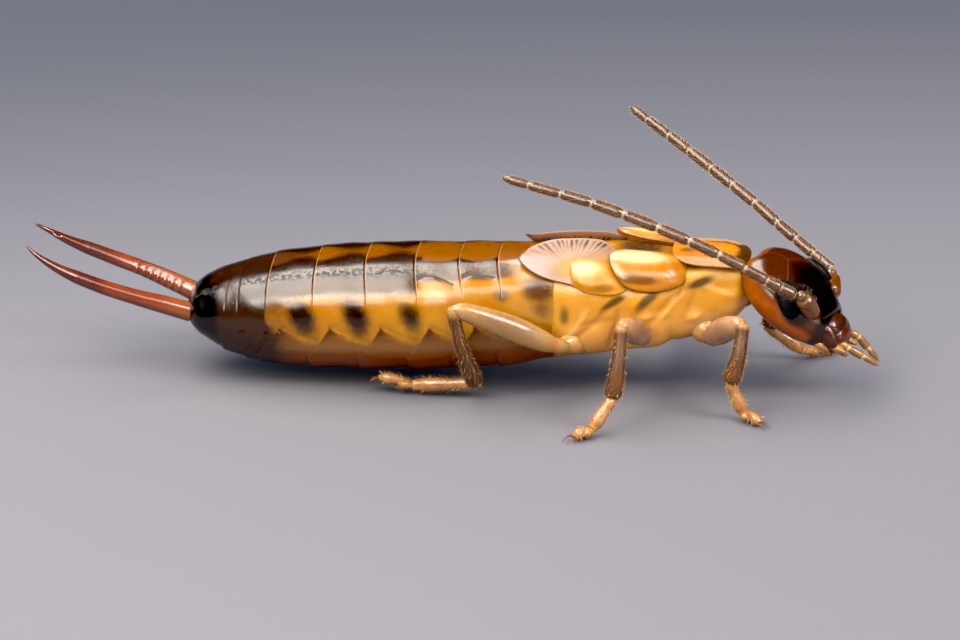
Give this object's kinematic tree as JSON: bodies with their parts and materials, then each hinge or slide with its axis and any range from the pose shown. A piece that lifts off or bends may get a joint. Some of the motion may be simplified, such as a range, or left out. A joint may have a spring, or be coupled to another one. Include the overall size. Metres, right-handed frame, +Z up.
{
  "type": "earwig nymph",
  "caption": "Life-size still earwig nymph standing on all feet, with beaded antennae, small wing pads, a long plated abdomen and slim, nearly straight forceps at the tail.",
  "frame": {"origin": "middle of the model's box, on the floor under the feet", "axes": "+X towards the head, +Y towards the animal's left, +Z up"},
  "size_m": [0.0152, 0.0074, 0.004],
  "materials": {
    "head_shell": "glossy, near-black brown face with orange-brown cheeks and neck edge",
    "thorax_skin": "satin, honey yellow and slightly see-through, with dark side marks",
    "abdomen_plates": "glossy plates, dark brown with an orange middle stripe and amber, spotted sides",
    "last_plate": "glossy, near black",
    "eyes": "finely faceted, glossy black",
    "antenna_bases": "glossy orange",
    "antennae": "satin grey-brown beads with pale joints",
    "palps": "satin, pale brown and slightly see-through",
    "forewing_pads": "glossy yellow, darker along the lower edge",
    "hindwing_pads": "glossy, pale, with violet-grey fan folds and a dark rim",
    "forceps": "glossy, dark red-brown with paler orange roots",
    "femora": "satin, pale beige and slightly see-through",
    "tibiae": "satin brown",
    "tarsi": "satin golden orange with dark claws"
  },
  "bodies": {
    "root": {"head": "head_shell", "prothorax": "thorax_skin", "mesothorax": "thorax_skin", "metathorax": "thorax_skin", "abdomen": "abdomen_plates", "abdomen_tip": "last_plate", "eye_right": "eyes", "antenna_base_right": "antenna_bases", "antenna_right": "antennae", "palp_right": "palps", "forewing_pad_right": "forewing_pads", "hindwing_pad_right": "hindwing_pads", "forceps_right": "forceps", "eye_left": "eyes", "antenna_base_left": "antenna_bases", "antenna_left": "antennae", "palp_left": "palps", "forewing_pad_left": "forewing_pads", "hindwing_pad_left": "hindwing_pads", "forceps_left": "forceps", "femur_fore_right": "femora", "tibia_fore_right": "tibiae", "tarsus_fore_right": "tarsi", "femur_fore_left": "femora", "tibia_fore_left": "tibiae", "tarsus_fore_left": "tarsi", "femur_mid_right": "femora", "tibia_mid_right": "tibiae", "tarsus_mid_right": "tarsi", "femur_mid_left": "femora", "tibia_mid_left": "tibiae", "tarsus_mid_left": "tarsi", "femur_hind_right": "femora", "tibia_hind_right": "tibiae", "tarsus_hind_right": "tarsi", "femur_hind_left": "femora", "tibia_hind_left": "tibiae", "tarsus_hind_left": "tarsi"}
  },
  "joints": []
}
